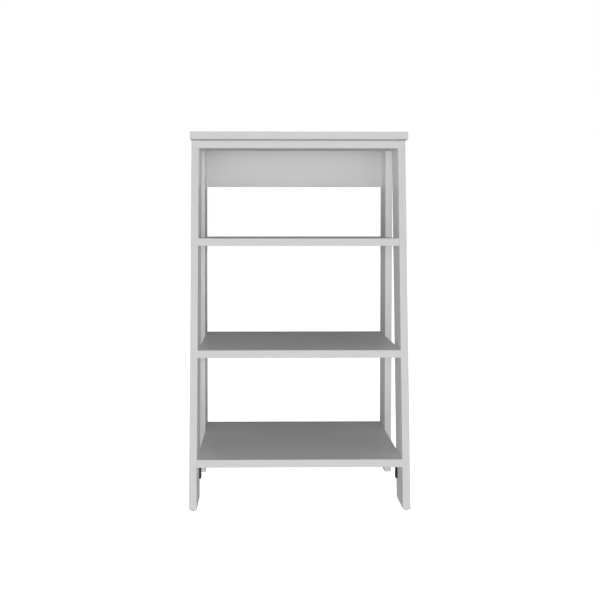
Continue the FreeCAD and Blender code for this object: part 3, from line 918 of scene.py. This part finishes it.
@dataclass
class Studio:
    """A white floor and surround, three lamps and a camera.

    Lengths are in metres and angles in degrees. A spread of 0 is a parallel beam.
    """

    floor_size: float = 40.0
    floor_tone: str = "#F2F2F2"
    floor_roughness: float = 0.9
    bands: tuple[SoftBand, ...] = (
        SoftBand((-1.0, -0.4), (-1.0, 0.0), (-0.12, 0.12), 2.90),
        SoftBand((0.4, 1.0), (-1.0, 0.0), (-0.12, 0.12), 2.95),
        SoftBand((-1.0, 1.0), (-1.0, 0.0), (-0.45, -0.12), 1.00),
        SoftBand((-0.4, 0.4), (-1.0, 0.0), (-0.45, -0.12), 0.60),
        SoftBand((-1.0, 1.0), (-1.0, 0.0), (0.45, 1.0), 0.34),
        SoftBand((-1.0, 1.0), (0.0, 1.0), (-0.3, 0.3), 0.16),
        SoftBand((-1.0, 1.0), (0.0, 1.0), (0.3, 1.0), 0.12),
        SoftBand((-1.0, 1.0), (0.0, 1.0), (-1.0, -0.3), 0.30),
    )
    fill_power: float = 9.8
    fill_size: float = 0.5
    fill_aim: tuple[float, float, float] = (0.0, 0.0, 0.45)
    kicker_place: tuple[float, float, float] = (0.0, 10.0, 0.5)
    kicker_strength: float = 1.7
    kicker_spread: float = 5.0
    overhead_power: float = 0.35
    overhead_spread: float = 2.0
    overhead_gap: float = 0.6
    camera_place: tuple[float, float, float] = (-0.0844, -2.131, 0.672)
    camera_pitch: float = -1.593
    camera_yaw: float = 0.693
    lens: float = 50.0
    sensor_width: float = 36.0
    shift: tuple[float, float] = (0.0435, -0.0866)

    def floor(self) -> None:
        """A wide white floor, lit from within so that it has no tone of its own.

        It is kept out of the bounced light: the surround lights the unit from
        below as evenly as a pale floor would.
        """
        half = self.floor_size / 2
        corners = [(-half, -half, 0.0), (half, -half, 0.0), (half, half, 0.0), (-half, half, 0.0)]
        mesh = bpy.data.meshes.new("studio_floor")
        mesh.from_pydata(corners, [], [(0, 1, 2, 3)])
        floor = bpy.data.objects.new("studio_floor", mesh)
        bpy.context.scene.collection.objects.link(floor)
        material = bpy.data.materials.new("studio_white_floor")
        material.use_nodes = True
        shader = material.node_tree.nodes["Principled BSDF"]
        feed(material.node_tree, shader, {
            "Base Color": linear(self.floor_tone),
            "Roughness": self.floor_roughness,
            "Emission Color": WHITE,
            "Emission Strength": 1.0,
        })
        dress(floor, material)
        floor.visible_diffuse = False
        floor.visible_glossy = False
        floor.visible_shadow = False

    def surround(self) -> None:
        """A surround that lights softly from its bands of directions.

        A band counts where all three components lie in its ranges. The surround
        looks white behind the unit, whatever light it gives.
        """
        world = bpy.data.worlds.new("studio_surround")
        bpy.context.scene.world = world
        world.use_nodes = True
        tree = world.node_tree
        background = tree.nodes["Background"]
        direction = add_node(tree, "ShaderNodeTexCoord").outputs["Generated"]
        parts = add_node(tree, "ShaderNodeSeparateXYZ", {"Vector": direction})
        light = 0.0
        for band in self.bands:
            share = band.strength
            for axis, (low, high) in zip("XYZ", (band.across, band.back, band.up)):
                test = {0: parts.outputs[axis], 1: (low + high) / 2, 2: (high - low) / 2}
                within = add_node(tree, "ShaderNodeMath", test, operation="COMPARE").outputs[0]
                share = add_node(tree, "ShaderNodeMath", {0: share, 1: within},
                                 operation="MULTIPLY").outputs[0]
            light = add_node(tree, "ShaderNodeMath", {0: light, 1: share},
                             operation="ADD").outputs[0]
        seen = add_node(tree, "ShaderNodeLightPath").outputs["Is Camera Ray"]
        level = add_node(tree, "ShaderNodeMix", {"Factor": seen, "A": light, "B": 1.0})
        feed(tree, background, {"Strength": level.outputs["Result"], "Color": WHITE})

    def lamp(self, light: bpy.types.Light, place: tuple[float, float, float],
             heading: Vector) -> None:
        """Hang a lamp, and keep it out of sight and out of reflections.

        Args:
            light: The lamp's light.
            place: Where it hangs.
            heading: The way its light travels.
        """
        lamp = bpy.data.objects.new(light.name, light)
        lamp.location = place
        lamp.rotation_euler = heading.to_track_quat("-Z", "Y").to_euler()
        lamp.visible_camera = False
        lamp.visible_glossy = False
        bpy.context.scene.collection.objects.link(lamp)

    def lights(self) -> None:
        """A fill at the camera, a kicker for the back and a soft box for the top.

        The fill's shadows fall behind what casts them, out of the camera's
        sight. The kicker is level, so only what faces the back sees it. The
        soft box's beam is nearly parallel and as wide as the top board, so it
        leaves the shelves alone.
        """
        fill = bpy.data.lights.new("front_fill", "AREA")
        fill.shape = "DISK"
        fill.size = self.fill_size
        fill.energy = self.fill_power
        self.lamp(fill, self.camera_place, Vector(self.fill_aim) - Vector(self.camera_place))
        kicker = bpy.data.lights.new("back_kicker", "SUN")
        kicker.energy = self.kicker_strength
        kicker.angle = math.radians(self.kicker_spread)
        self.lamp(kicker, self.kicker_place, Vector((0.0, -1.0, 0.0)))
        low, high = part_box("top_board")
        overhead = bpy.data.lights.new("overhead_soft_box", "AREA")
        overhead.shape = "RECTANGLE"
        overhead.size = high.x - low.x
        overhead.size_y = high.y - low.y
        overhead.spread = math.radians(self.overhead_spread)
        overhead.energy = self.overhead_power
        middle = (low + high) / 2
        place = (middle.x, middle.y, high.z + self.overhead_gap)
        self.lamp(overhead, place, Vector((0.0, 0.0, -1.0)))

    def camera(self) -> None:
        """A normal lens a little left of the middle, at three quarters of the height.

        A camera that is turned by 90 degrees about X looks level.
        """
        data = bpy.data.cameras.new("studio_camera")
        data.lens = self.lens
        data.sensor_width = self.sensor_width
        data.shift_x, data.shift_y = self.shift
        camera = bpy.data.objects.new("studio_camera", data)
        camera.location = self.camera_place
        pitch = math.radians(90 + self.camera_pitch)
        camera.rotation_euler = (pitch, 0.0, -math.radians(self.camera_yaw))
        bpy.context.scene.collection.objects.link(camera)
        bpy.context.scene.camera = camera

    def build(self) -> None:
        """Set up floor, light, camera and a plain tone curve."""
        self.floor()
        self.surround()
        self.lights()
        self.camera()
        bpy.context.scene.view_settings.view_transform = "Standard"
        log.info("studio is set")


def main() -> None:
    """Build every sub-assembly in order, then the studio."""
    builders: list[Callable[[], None]] = [
        Boards().build,
        Fittings().build,
        BracketSet().build,
        RailScrews().build,
        Glides().build,
        Studio().build,
    ]
    for build in builders:
        build()


if __name__ == "__main__":
    main()
